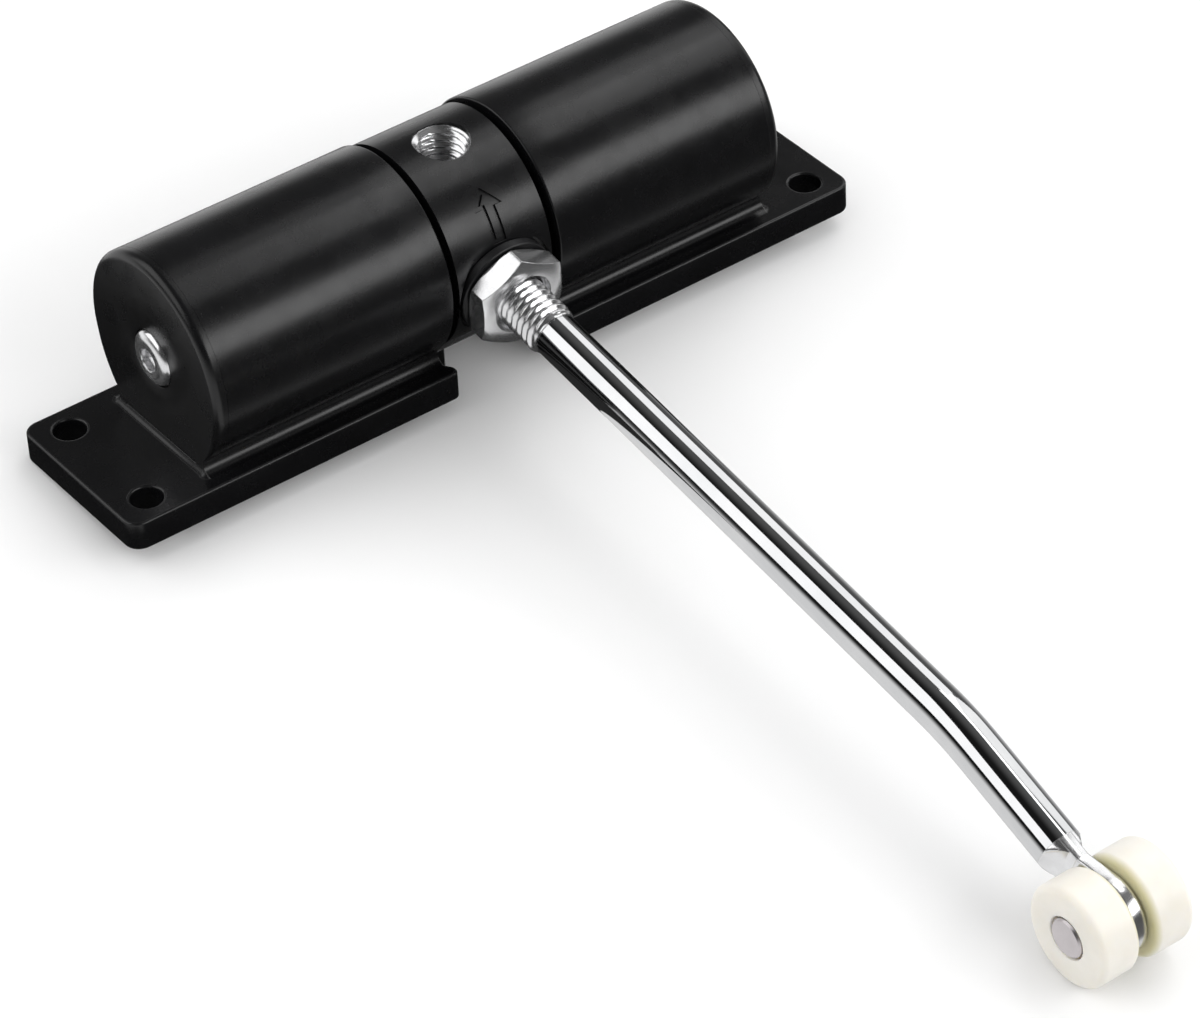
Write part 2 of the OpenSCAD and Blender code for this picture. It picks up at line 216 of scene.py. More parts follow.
def flat_piece(name, outlines, low, high, edge):
    """An extruded outline with holes, its edges rounded, as a mesh in metres."""
    curve = bpy.data.curves.new(name, "CURVE")
    curve.dimensions = "2D"
    curve.fill_mode = "BOTH"
    curve.extrude = ((high - low) / 2 - edge) * MM
    curve.bevel_depth = edge * MM
    curve.bevel_resolution = 3
    curve.offset = -edge * MM
    for outline in outlines:
        spline = curve.splines.new("POLY")
        spline.points.add(len(outline) - 1)
        for point, (x, y) in zip(spline.points, outline):
            point.co = (x * MM, y * MM, 0, 1)
        spline.use_cyclic_u = True
    holder = bpy.data.objects.new(name, curve)
    bpy.context.scene.collection.objects.link(holder)
    graph = bpy.context.evaluated_depsgraph_get()
    mesh = bpy.data.meshes.new_from_object(holder.evaluated_get(graph))
    bpy.data.objects.remove(holder)
    mesh.transform(Matrix.Translation((0, 0, (low + high) / 2 * MM)))
    mesh.shade_smooth()
    mesh.set_sharp_from_angle(angle=SHARP_ANGLE)
    return mesh


def join_mesh(obj, mesh, place=None):
    """Adds a mesh in metres to an object's own mesh."""
    bm = bmesh.new()
    bm.from_mesh(obj.data)
    if place is not None:
        mesh.transform(place)
    bm.from_mesh(mesh)
    bm.to_mesh(obj.data)
    bm.free()
    obj.data.shade_smooth()
    obj.data.set_sharp_from_angle(angle=SHARP_ANGLE)


# ---- materials ----


class Nodes:
    """Short names for building one material's nodes."""

    def __init__(self, name):
        self.material = bpy.data.materials.new(name)
        self.material.use_nodes = True
        self.tree = self.material.node_tree
        self.shader = self.tree.nodes["Principled BSDF"]
        self.coord = self.tree.nodes.new("ShaderNodeTexCoord").outputs["Object"]

    def link(self, a, b):
        self.tree.links.new(a, b)

    def along(self, axis):
        """One axis of the object's own coordinates."""
        split = self.tree.nodes.new("ShaderNodeSeparateXYZ")
        self.link(self.coord, split.inputs[0])
        return split.outputs[axis]

    def maths(self, operation, *values):
        """One Math node fed by outputs."""
        node = self.tree.nodes.new("ShaderNodeMath")
        node.operation = operation
        for value, socket in zip(values, node.inputs):
            self.link(value, socket)
        return node.outputs[0]

    def noise(self, size_mm, detail=3.0, roughness=0.55, stretch=None):
        """Noise whose features are about size_mm across."""
        node = self.tree.nodes.new("ShaderNodeTexNoise")
        node.inputs["Scale"].default_value = 1 / (size_mm * MM)
        node.inputs["Detail"].default_value = detail
        node.inputs["Roughness"].default_value = roughness
        source = self.coord
        if stretch:
            mapping = self.tree.nodes.new("ShaderNodeMapping")
            mapping.inputs["Scale"].default_value = stretch
            self.link(self.coord, mapping.inputs["Vector"])
            source = mapping.outputs["Vector"]
        self.link(source, node.inputs["Vector"])
        return node.outputs["Fac"]

    def remap(self, value, low, high, to_low, to_high):
        node = self.tree.nodes.new("ShaderNodeMapRange")
        node.inputs["From Min"].default_value = low
        node.inputs["From Max"].default_value = high
        node.inputs["To Min"].default_value = to_low
        node.inputs["To Max"].default_value = to_high
        self.link(value, node.inputs["Value"])
        return node.outputs["Result"]

    def mix(self, factor, a, b):
        """Mixes two colours, each a triple or an output."""
        node = self.tree.nodes.new("ShaderNodeMix")
        node.data_type = "RGBA"
        self.link(factor, node.inputs["Factor"])
        for socket, colour in ((node.inputs[6], a), (node.inputs[7], b)):
            if isinstance(colour, tuple):
                socket.default_value = (*colour, 1)
            else:
                self.link(colour, socket)
        return node.outputs[2]

    def edge_mask(self, radius_mm):
        """1 at sharp edges and 0 on smooth faces."""
        bevel = self.tree.nodes.new("ShaderNodeBevel")
        bevel.samples = 4
        bevel.inputs["Radius"].default_value = radius_mm * MM
        geometry = self.tree.nodes.new("ShaderNodeNewGeometry")
        dot = self.tree.nodes.new("ShaderNodeVectorMath")
        dot.operation = "DOT_PRODUCT"
        self.link(bevel.outputs["Normal"], dot.inputs[0])
        self.link(geometry.outputs["Normal"], dot.inputs[1])
        return self.remap(dot.outputs["Value"], 0.999, 0.9, 0, 1)

    def bump(self, height, strength, distance_mm, round_mm=0):
        """Bump from a height, on top of edges rounded by round_mm."""
        node = self.tree.nodes.new("ShaderNodeBump")
        node.inputs["Strength"].default_value = strength
        node.inputs["Distance"].default_value = distance_mm * MM
        self.link(height, node.inputs["Height"])
        if round_mm:
            bevel = self.tree.nodes.new("ShaderNodeBevel")
            bevel.samples = 4
            bevel.inputs["Radius"].default_value = round_mm * MM
            self.link(bevel.outputs["Normal"], node.inputs["Normal"])
        self.link(node.outputs["Normal"], self.shader.inputs["Normal"])

    def set(self, **values):
        for name, value in values.items():
            socket = self.shader.inputs[name.replace("_", " ")]
            socket.default_value = (*value, 1) if isinstance(value, tuple) else value

    def colour(self, output):
        self.link(output, self.shader.inputs["Base Color"])

    def rough(self, output):
        self.link(output, self.shader.inputs["Roughness"])


def paint(name, tone, rough_low, rough_high, round_mm=0.0, grain=0.5, edge_wear_and_highlight_mm=0.0):
    """Black stoved paint: orange peel, faint cloudiness, dust, and rubbed edges lightened further into a painted
    edge highlight.
    """
    n = Nodes(name)
    cloud = n.noise(14, detail=4)
    dust = n.remap(n.noise(0.35, detail=2), 0.66, 0.78, 0, 1)
    dark = tuple(c * 0.75 for c in tone)
    light = tuple(c * 1.35 for c in tone)
    base = n.mix(n.remap(cloud, 0.3, 0.7, 0, 1), dark, light)
    if edge_wear_and_highlight_mm:
        # only the plate's top edges: lightened to grey, partly as rubbed wear and partly as a painted highlight
        # along them
        top_edge_wear_and_highlight = n.remap(n.along("Z"), 6.2 * MM, 7 * MM, 0.8, 0)
        edge = n.maths("MULTIPLY", n.edge_mask(edge_wear_and_highlight_mm), top_edge_wear_and_highlight)
        base = n.mix(edge, base, (0.2, 0.2, 0.2))
    n.colour(n.mix(n.remap(dust, 0, 1, 0, 0.12), base, (0.12, 0.12, 0.115)))
    n.rough(n.remap(n.noise(5, detail=5), 0.3, 0.7, rough_low, rough_high))
    n.set(Specular_IOR_Level=0.42)
    n.bump(n.noise(grain, detail=3), 0.16, 0.03, round_mm)
    return n.material


def metal(name, tone, rough_low, rough_high, lines_mm=None, round_mm=0.0, bump=0.2, metallic=1.0):
    """Bare or plated metal, with fine tool marks when lines_mm gives their direction."""
    n = Nodes(name)
    marks = n.noise(0.3, detail=4, stretch=lines_mm)
    stain = n.noise(6, detail=4)
    dark = tuple(c * 0.86 for c in tone)
    n.colour(n.mix(n.remap(stain, 0.35, 0.7, 0, 1), dark, tone))
    n.rough(n.remap(marks, 0.3, 0.7, rough_low, rough_high))
    n.set(Metallic=metallic)
    n.bump(marks, bump, 0.02, round_mm)
    return n.material


def chrome():
    n = Nodes("chrome")
    haze = n.noise(9, detail=5)
    wipe = n.noise(0.25, detail=3, stretch=(1, 0.06, 0.06))
    n.colour(n.mix(n.remap(haze, 0.35, 0.7, 0, 1), (0.6, 0.605, 0.615), (0.66, 0.662, 0.668)))
    n.rough(n.remap(haze, 0.3, 0.7, 0.035, 0.07))
    n.set(Metallic=1.0)
    n.bump(wipe, 0.05, 0.01)
    return n.material


def nylon():
    """Ivory moulded nylon, a little see-through, with a soft sheen and fine scuffs."""
    n = Nodes("ivory_nylon")
    cloud = n.noise(7, detail=3)
    ivory = n.mix(n.remap(cloud, 0.3, 0.7, 0, 1), (0.79, 0.76, 0.69), (0.84, 0.81, 0.75))
    # painted shade: olive tint on the faces where the two rollers face each other, standing in for the shade in
    # the gap
    inside = n.remap(n.maths("ABSOLUTE", n.along("X")), 1.8 * MM, 2.8 * MM, 0.7, 0)
    n.colour(n.mix(inside, ivory, (0.6, 0.56, 0.27)))
    n.rough(n.remap(n.noise(1.2, detail=4), 0.3, 0.7, 0.3, 0.46))
    n.set(Subsurface_Weight=0.5, Subsurface_Scale=2.0 * MM, Specular_IOR_Level=0.4)
    n.shader.inputs["Subsurface Radius"].default_value = (1.0, 0.9, 0.7)
    n.bump(n.noise(0.6, detail=4), 0.08, 0.03)
    return n.material


def plastic(name, tone, rough):
    n = Nodes(name)
    n.colour(n.mix(n.remap(n.noise(4, detail=4), 0.3, 0.7, 0, 1), tuple(c * 0.8 for c in tone), tone))
    n.rough(n.remap(n.noise(0.8, detail=3), 0.3, 0.7, rough - 0.08, rough + 0.08))
    n.bump(n.noise(0.3, detail=3), 0.1, 0.02)
    return n.material


MATERIALS = {
    # the plate's top edges are lightened: rubbed wear plus a painted edge highlight
    "black_paint": paint("black_paint", (0.0032, 0.0032, 0.0036), 0.23, 0.3, edge_wear_and_highlight_mm=0.3),
    "drum_black": paint("drum_black", (0.0036, 0.0036, 0.004), 0.24, 0.32, round_mm=0.06),
    "cap_black": paint("cap_black", (0.0036, 0.0036, 0.004), 0.25, 0.33, grain=0.35),
    "dark_steel": metal("dark_steel", (0.2, 0.2, 0.205), 0.28, 0.42),
    "steel": metal("steel", (0.6, 0.6, 0.6), 0.22, 0.36, lines_mm=(0.1, 1, 1)),
    "spring_steel": metal("spring_steel", (0.28, 0.28, 0.3), 0.3, 0.45),
    "bronze": metal("bronze", (0.6, 0.42, 0.2), 0.25, 0.4),
    "black_nylon": plastic("black_nylon", (0.008, 0.008, 0.009), 0.6),
    "washer_black": paint("washer_black", (0.004, 0.004, 0.0045), 0.36, 0.5, round_mm=0.15),
    "bright_zinc": metal("bright_zinc", (0.82, 0.82, 0.83), 0.14, 0.22, round_mm=0.25, bump=0.05,
                         metallic=0.94),
    "chrome": chrome(),
    # pinkish tone: painted reflection of the ivory rollers in the pin's steel
    "pin_metal": metal("pin_metal", (0.66, 0.62, 0.63), 0.3, 0.42),
    "ivory_nylon": nylon(),
}


def finish_piece(obj, body, slot, *nodes):
    """Gives a piece its material and its body, and hides the CAD nodes that it stands for."""
    obj.data.materials.clear()
    obj.data.materials.append(MATERIALS[slot])
    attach(obj, body)
    if nodes:
        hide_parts(*nodes)


# ---- the casting ----


def plate_outline():
    """The plate seen from above, with the notch that lets the arm down."""
    l, w, c = PLATE_HALF_L, PLATE_HALF_W, PLATE_CORNER
    lip, inner = NOTCH_LIP_R, NOTCH_INNER_R
    points = arc(l - c, w - c, c, 0, 90, 8) + arc(c - l, w - c, c, 90, 180, 8)
    points += arc(c - l, c - w, c, 180, 270, 8)
    # the wall swells out from the lip at the front edge to its full width further in
    swell = [(NOTCH_LIP_HALF + (NOTCH_HALF - NOTCH_LIP_HALF) * (1 - math.cos(math.pi * i / 8)) / 2,
              lip - w + SWELL_START + SWELL_L * i / 8) for i in range(9)]
    points += arc(-NOTCH_LIP_HALF - lip, lip - w, lip, 270, 360, 6)
    points += [(-x, y) for x, y in swell]
    points += arc(inner - NOTCH_HALF, -NOTCH_BACK - inner, inner, 180, 90, 8)
    points += [(inner - NOTCH_HALF, NOTCH_BACK), (NOTCH_HALF - inner, NOTCH_BACK)]
    points += arc(NOTCH_HALF - inner, -NOTCH_BACK - inner, inner, 90, 0, 8)
    points += list(reversed(swell))
    points += arc(NOTCH_LIP_HALF + lip, lip - w, lip, 180, 270, 6)
    return points + arc(l - c, c - w, c, 270, 360, 8)


def add_neck(bm, x1, x2):
    """The neck under a barrel and its fillets onto the plate."""
    foot = NECK_HALF + NECK_FILLET
    z = PLATE_T + NECK_FILLET
    inside = BARREL_R - NECK_SINK
    low_turn = math.degrees(math.asin((AXIS_Z - PLATE_T) / inside))
    high_turn = math.degrees(math.acos(NECK_HALF / inside))
    side = arc(foot, z, NECK_FILLET, 270, 180, 8)
    under = [(y, AXIS_Z - u) for y, u in arc(0, 0, inside, high_turn, low_turn, 6)]
    section = side + under
    for mirror in (1, -1):
        rings = [[Vector((x, mirror * y, z)) for y, z in section] for x in (x1, x2)]
        add_rings(bm, rings, cap=True)


def add_end_fillet(bm, side):
    """The fillet where the barrel's end face stands on the plate, round both corners."""
    stations = [(-NECK_HALF, -90 + 10 * i) for i in range(10)] + [(0, 0)]
    stations += [(NECK_HALF, 10 * i) for i in range(10)]
    rings = []
    for y, heading in stations:
        r = END_FILLET + (NECK_FILLET - END_FILLET) * abs(heading) / 90
        away = Vector((side * math.cos(math.radians(heading)), math.sin(math.radians(heading)), 0))
        foot = Vector((side * (CAP_OUT - 0.02), y, PLATE_T - 0.02))
        ring = [foot + away * r * (1 - math.sin(t)) + Vector((0, 0, r * (1 - math.cos(t))))
                for t in (math.radians(10 * i) for i in range(10))]
        rings.append(ring + [foot - away * 0.2])
    add_rings(bm, rings, cap=True)


def barrel_profile():
    """Section of one barrel: distance out from the centre, and radius."""
    rim = [(BARREL_IN + LIP_ROUND - x, BARREL_R - LIP_ROUND + y)
           for y, x in arc(0, 0, LIP_ROUND, 90, 0, 4)]
    outer = [(CAP_SEAM - SEAM, BARREL_R), (CAP_SEAM - SEAM, BARREL_R - 1)]
    bore = [(CAP_SEAM - 0.05, BARREL_BORE), (BARREL_IN + INNER_WALL, BARREL_BORE)]
    wall = [(BARREL_IN + INNER_WALL, BUSH_R), (BARREL_IN, BUSH_R)]
    return rim + [(20, BARREL_R), (40, BARREL_R)] + outer + bore + wall


def add_web(bm):
    """The thin web that closes the casting under the drum."""
    steps = 16
    half = math.asin(NOTCH_BACK / WEB_IN)
    turns = [-half + 2 * half * i / steps for i in range(steps + 1)]
    rings = []
    for x in (-BARREL_IN - 0.2, BARREL_IN + 0.2):
        inner = [Vector((x, WEB_IN * math.sin(t), AXIS_Z - WEB_IN * math.cos(t))) for t in turns]
        outer = [Vector((x, WEB_OUT * math.sin(t), AXIS_Z - WEB_OUT * math.cos(t))) for t in reversed(turns)]
        rings.append(inner + outer)
    add_rings(bm, rings, cap=True)


def casting():
    bm = bmesh.new()
    for side in (1, -1):
        lathe(bm, axle_place(side), barrel_profile(), steps=160)
        add_neck(bm, side * BARREL_IN, side * (CAP_OUT - 0.01))
        add_end_fillet(bm, side)
    add_web(bm)
    obj = mesh_object("casting", bm)
    holes = [arc(sx * HOLE_X, sy * HOLE_Y, HOLE_R, 0, 360, 40)[:-1] for sx in (1, -1) for sy in (1, -1)]
    join_mesh(obj, flat_piece("plate", [plate_outline()] + holes, 0, PLATE_T, PLATE_EDGE))
    finish_piece(obj, "base", "black_paint", "body_casting")


def cap(side, node):
    """An end cap: its rim is rounded above the neck and square where the neck meets it."""
    # X points up in the matrix of the right side and down in that of the left side
    meet = math.asin(NECK_HALF / BARREL_R)

    def rounding(turn):
        from_down = abs((turn if side > 0 else turn - math.pi) % TAU)
        from_down = min(from_down, TAU - from_down)
        return CAP_ROUND * min(1.0, max(0.0, (from_down - meet) / math.radians(35))) ** 0.8 + 0.02

    seat = CAP_OUT - SCREW_SINK
    place = axle_place(side)
    steps = 200
    inner_end, spigot_r = CAP_SEAM - CAP_SPIGOT_L, BARREL_BORE - 0.05
    rows = [(inner_end, spigot_r), (CAP_SEAM, spigot_r), (CAP_SEAM, BARREL_R - 0.02)]
    rows += [(CAP_SEAM + 0.02, BARREL_R)]
    rounds = [math.radians(90 - 90 * i / 12) for i in range(13)]
    face = [(CAP_OUT, 12), (CAP_OUT, SCREW_SEAT_R + 0.25), (CAP_OUT - 0.1, SCREW_SEAT_R + 0.05)]
    face += [(CAP_OUT - 0.25, SCREW_SEAT_R), (seat, SCREW_SEAT_R)]
    face += [(seat, SCREW_HOLE_R), (inner_end, SCREW_HOLE_R)]
    rings = []
    for row in rows + rounds + face:
        ring = []
        for k in range(steps):
            turn = TAU * k / steps
            if isinstance(row, tuple):
                along, r = row
            else:
                soft = rounding(turn)
                along = CAP_OUT - soft + soft * math.cos(row)
                r = BARREL_R - soft + soft * math.sin(row)
            ring.append(place @ Vector((r * math.cos(turn), r * math.sin(turn), along)))
        rings.append(ring)
    bm = bmesh.new()
    add_rings(bm, rings, closed=True)
    finish_piece(mesh_object(node, bm), "base", "cap_black", node)


def hexagon(af, turned=0.0):
    """Radius of a hexagon's edge at any turn."""
    def radius(turn):
        part = (turn - turned) % (math.pi / 3) - math.pi / 6
        return af / 2 / math.cos(part)
    return radius


def end_screws():
    """Both bright pan head screws, with a hexagon socket."""
    head_r, rim, seat = 5.35, 0.5, CAP_OUT - SCREW_SINK
    top, shank_r, shank_l = CAP_OUT + 1.0, 2.95, 12
    dome = top - seat - rim
    crown = [(seat + rim + y, head_r - 1.5 * dome + 1.5 * x) for x, y in arc(0, 0, dome, 0, 90, 12)]
    socket = [(top, 2.4), (top - 0.12, hexagon(4.25)), (top - 1.5, hexagon(4.1)), (top - 1.8, 0.3)]
    shank = [(seat - shank_l, shank_r), (seat, shank_r), (seat, head_r - 0.1), (seat + 0.1, head_r)]
    bm = bmesh.new()
    for side in (1, -1):
        lathe(bm, axle_place(side), shank + crown + socket, steps=96, closed=False)
    finish_piece(mesh_object("screw_heads", bm), "base", "bright_zinc", "end_screws")


# ---- the drum's fittings ----


def spare_threads():
    """Bright mouths and internal threads in the drum's two spare holes."""
    bm = bmesh.new()
    steps, per_turn = 60, 10
    thread_depth, crest = 0.75, 1.3
    low, high = TAP_BOTTOM, MOUTH_FLOOR - MOUTH_R + TAP_R
    rows = int((high - low) / THREAD_PITCH * per_turn)
    for angle in SPARE_ANGLES:
        place = radial_place(math.radians(angle))
        stations = [(low + (high - low) * i / rows, None) for i in range(rows + 1)]
        stations += [(MOUTH_FLOOR - 0.03, MOUTH_R - 0.05), (MOUTH_FLOOR + 0.1, MOUTH_R - 0.04)]
        rings = []
        for along, mouth in stations:
            ring = []
            for k in range(steps):
                turn = TAU * k / steps
                phase = (along / THREAD_PITCH - turn / TAU) % 1
                groove = 1 - min(1.0, abs(2 * phase - 1) * crest)
                r = mouth or TAP_R - 0.05 - thread_depth * groove
                ring.append(place @ Vector((r * math.cos(turn), r * math.sin(turn), along)))
            rings.append(ring)
        add_rings(bm, rings)
    finish_piece(mesh_object("spare_threads", bm), "arm", "bright_zinc")


def arm_washer():
    edge = 0.2
    low, high = SPOT_FACE, SPOT_FACE + WASHER_T
    profile = [(low, WASHER_HOLE_R), (low, WASHER_R - edge), (low + edge, WASHER_R), (high - edge, WASHER_R)]
    profile += [(high, WASHER_R - edge), (high, WASHER_HOLE_R)]
    bm = bmesh.new()
    lathe(bm, arm_place(), profile)
    finish_piece(mesh_object("arm_washer_disc", bm), "arm", "washer_black", "arm_washer")


def lock_nut():
    """Thin hexagon nut: both faces are cut back by a cone at each corner."""
    low, high = SPOT_FACE + WASHER_T, SPOT_FACE + WASHER_T + NUT_T
    flat = NUT_AF / 2
    hexa = hexagon(NUT_AF, math.radians(NUT_TURN))
    cone = math.tan(math.radians(28))
    washer_face = flat - 0.35
    hole, mouth = 5.0, 6.05

    def chamfer_drop(turn):
        return (hexa(turn) - washer_face) * cone

    place = arm_place()
    bm = bmesh.new()
    steps = 180
    turns = [TAU * k / steps for k in range(steps)]
    rings = [[(5.35, low)] * steps, [(washer_face, low)] * steps]
    rings.append([(hexa(t), low + chamfer_drop(t)) for t in turns])
    rings.append([(hexa(t), high - chamfer_drop(t)) for t in turns])
    rings.append([(washer_face, high)] * steps)
    rings.append([(mouth, high)] * steps)
    rings.append([(hole, high - 1.1)] * steps)
    rings.append([(hole, low + 0.5)] * steps)
    points = [
        [place @ Vector((r * math.cos(t), r * math.sin(t), z)) for t, (r, z) in zip(turns, ring)]
        for ring in rings
    ]
    add_rings(bm, points, closed=True)
    finish_piece(mesh_object("hex_lock_nut", bm), "arm", "bright_zinc", "lock_nut")


# ---- the arm ----


def thread_radius(along, turn):
    """Radius of the stud: V thread that runs out into the rod."""
    phase = (along / THREAD_PITCH - turn / TAU) % 1
    runout, crest = 1.6, 1.25
    flat_crest = min(1.0, abs(2 * phase - 1) * crest)
    fade = min(1.0, max(0.0, (STUD_END - along) / runout))
    thread = THREAD_R - THREAD_DEPTH * (1 - flat_crest)
    return ROD_R + (thread - ROD_R) * fade


def arm_centreline(along):
    """Matrix of the rod's section at a distance from the drum axis along the rod."""
    arc_length = BEND_R * BEND
    if along <= BEND_START:
        return arm_place() @ Matrix.Translation((0, 0, along))
    if along >= BEND_START + arc_length:
        return bent_place(along - BEND_START - arc_length)
    turn = (along - BEND_START) / BEND_R
    point = Vector((0, -BEND_R * (1 - math.cos(turn)), BEND_START + BEND_R * math.sin(turn)))
    return arm_place() @ Matrix.Translation(point) @ Matrix.Rotation(turn, 4, "X")


def pin_along():
    """How far along the rod the roller pin is."""
    start = bent_place(0)
    offset = (start.inverted() @ Vector((0, PIN.y, PIN.z))).z
    return BEND_START + BEND_R * BEND + offset


def tab_outline(pin):
    """The tab square on: x is height on the arm, y the distance past the bend."""
    half = ROD_R - 0.1
    neck = pin - TAB_END_R - 2
    head = arc(0, pin, TAB_END_R, -22, 202, 36)
    left = [(-half, neck), (-half, pin - SHOULDER_BEFORE_PIN)]
    right = [(half, pin - SHOULDER_BEFORE_PIN), (half, neck)]
    return head + left + right


def rod_section(along):
    """One ring of the rod, pressed flat towards the tab."""
    steps = 72
    place = arm_centreline(along)
    press = min(1.0, max(0.0, (along - pin_along() + SHOULDER_BEFORE_PIN) / SHOULDER_L))
    half_t = ROD_R + (TAB_HALF_T - 0.04 - ROD_R) * press ** 0.7
    ring = []
    for k in range(steps):
        turn = TAU * k / steps
        r = thread_radius(along, turn) if along < STUD_END else ROD_R
        x, y = r * math.cos(turn), r * math.sin(turn)
        if press > 0:
            x = max(-half_t, min(half_t, x))
        ring.append(place @ Vector((x, y, 0)))
    return ring


def steps_between(low, high, step):
    count = max(1, round((high - low) / step))
    return [low + (high - low) * i / count for i in range(count + 1)]


def arm_rod():
    """Threaded stud, bright rod with its bend, and pressed shoulder with the flat tab."""
    shoulder = pin_along() - SHOULDER_BEFORE_PIN
    bm = bmesh.new()
    add_rings(bm, [rod_section(a) for a in steps_between(STUD_START, STUD_END + 0.3, 0.1)], cap=True)
    finish_piece(mesh_object("stud_thread", bm), "arm", "bright_zinc", "arm_rod")

    bm = bmesh.new()
    stations = steps_between(STUD_END, BEND_START, 9) + steps_between(BEND_START + 1, shoulder, 1.5)
    add_rings(bm, [rod_section(a) for a in stations], cap=True)
    finish_piece(mesh_object("bright_rod", bm), "arm", "chrome", "arm_rod")

    bm = bmesh.new()
    stations = steps_between(shoulder, shoulder + SHOULDER_L, SHOULDER_L / 10) + [shoulder + SHOULDER_L + 1.5]
    add_rings(bm, [rod_section(a) for a in stations], cap=True)
    obj = mesh_object("pressed_tab", bm)
    pin = pin_along() - BEND_START - BEND_R * BEND
    tab = flat_piece("tab", [tab_outline(pin)], -TAB_HALF_T, TAB_HALF_T, 0.35)
    # the outline's x is the arm's height and its y runs along the arm
    lay = Matrix(((0, 0, 1, 0), (1, 0, 0, 0), (0, 1, 0, 0), (0, 0, 0, 1)))
    place = bent_place(0)
    place.translation *= MM
    join_mesh(obj, tab, place @ lay)
    finish_piece(obj, "arm", "bright_zinc", "arm_rod")


# ---- rollers ----


def roller(side, node, body):
    """A moulded roller: soft rims, a straight tread and a sunk seat for the pin's head."""
    out, r, edge = ROLLER_OUT, ROLLER_R, ROLLER_ROUND
    middle = (ROLLER_IN + out) / 2
    inner = [(ROLLER_IN + edge - x, r - edge + y) for y, x in arc(0, 0, edge, 90, 0, 9)]
    outer = [(out - edge + x, r - edge + y) for y, x in arc(0, 0, edge, 0, 90, 9)]
    seat = [(out, ROLLER_SINK_R + 0.35), (out - 0.1, ROLLER_SINK_R + 0.1), (out - 0.3, ROLLER_SINK_R)]
    seat += [(out - ROLLER_SINK, ROLLER_SINK_R), (out - ROLLER_SINK, PIN_R + 0.05)]
    bore = [(ROLLER_IN, PIN_R + 0.05), (ROLLER_IN, PIN_R + 2.5)]
    bm = bmesh.new()
    lathe(bm, pin_place(side), inner + [(middle, r)] + outer + seat + bore, steps=128)
    finish_piece(mesh_object(body + "_tread", bm), body, "ivory_nylon", node)


def roller_pin():
    """The pin, its chamfered head on the left and the closed end on the right."""
    head_in, head_out, edge = 8.7, ROLLER_OUT + 0.15, 0.35
    head = [(head_in, PIN_R), (head_in, HEAD_R), (head_out - edge, HEAD_R)]
    head += [(head_out, HEAD_R - edge), (head_out, 0.3)]
    bm = bmesh.new()
    lathe(bm, pin_place(-1), [(0, PIN_R)] + head, steps=64, closed=False)
    upset = [(0, PIN_R), (9.3, PIN_R), (9.32, 3.1), (9.55, 3.2)]
    upset += [(head_out - 0.1, 2.7), (head_out, 1.8), (head_out, 0.3)]
    lathe(bm, pin_place(1), upset, steps=64, closed=False)
    finish_piece(mesh_object("rivet_pin", bm), "arm", "pin_metal", "roller_pin")


# ---- the floor, the lights and the camera ----


def floor_frame():
    """The floor touches the plate's rear edge and the rollers, so it leans against the plate."""
    dy, dz = PLATE_HALF_W - PIN.y, -PIN.z
    lean = math.atan2(dz, dy) + math.asin(ROLLER_R / math.hypot(dy, dz))
    place = Matrix.Translation(Vector((0, PLATE_HALF_W, 0)) * MM)
    return place @ Matrix.Rotation(lean, 4, "X")


def pale_floor():
    bm = bmesh.new()
    bmesh.ops.create_grid(bm, x_segments=1, y_segments=1, size=4.0 / MM)
    obj = mesh_object("floor", bm, smooth=False)
    obj.matrix_world = floor_frame()
    n = Nodes("floor_paper")
    n.colour(n.mix(n.noise(30, detail=3), (0.86, 0.86, 0.86), (0.88, 0.88, 0.88)))
    n.set(Roughness=0.9, Specular_IOR_Level=0.1)
    obj.data.materials.append(n.material)
    obj.visible_glossy = False


def direction(azimuth, elevation):
    """Towards a point of the studio: azimuth from -Y to +X, elevation above the horizon."""
    a, e = math.radians(azimuth), math.radians(elevation)
    return Vector((math.sin(a) * math.cos(e), -math.cos(a) * math.cos(e), math.sin(e)))


AIM = Vector((0, -0.05, 0.02))


def softbox(name, azimuth, elevation, wide, tall, radiance, distance=1.3, gloss=True):
    """A rectangular light whose angular size is in degrees and whose brightness is 1 for white."""
    light = bpy.data.lights.new(name, "AREA")
    light.shape = "RECTANGLE"
    light.size = 2 * distance * math.tan(math.radians(wide / 2))
    light.size_y = 2 * distance * math.tan(math.radians(tall / 2))
    light.energy = radiance * math.pi * light.size * light.size_y
    obj = bpy.data.objects.new(name, light)
    bpy.context.scene.collection.objects.link(obj)
    away = direction(azimuth, elevation)
    obj.location = AIM + away * distance
    obj.rotation_euler = away.to_track_quat("Z", "Y").to_euler()
    obj.visible_glossy = gloss


def floor_shade():
    """A dark card that only mirrors see, on the floor under the body, where the floor is in shade."""
    bm = bmesh.new()
    corners = [(-95, -88), (95, -88), (95, 30), (-95, 30)]
    bm.faces.new([bm.verts.new((x, y, 0.2)) for x, y in corners])
    obj = mesh_object("floor_shade", bm, smooth=False)
    obj.matrix_world = floor_frame() @ Matrix.Translation((0, 0.035, 0))
    n = Nodes("floor_shade")
    n.set(Base_Color=(0.0, 0.0, 0.0), Specular_IOR_Level=0.0, Roughness=1.0)
    n.set(Emission_Color=(1.0, 1.0, 1.0), Emission_Strength=0.03)
    obj.data.materials.append(n.material)
    for kind in ("camera", "diffuse", "shadow", "transmission", "volume_scatter"):
        setattr(obj, "visible_" + kind, False)


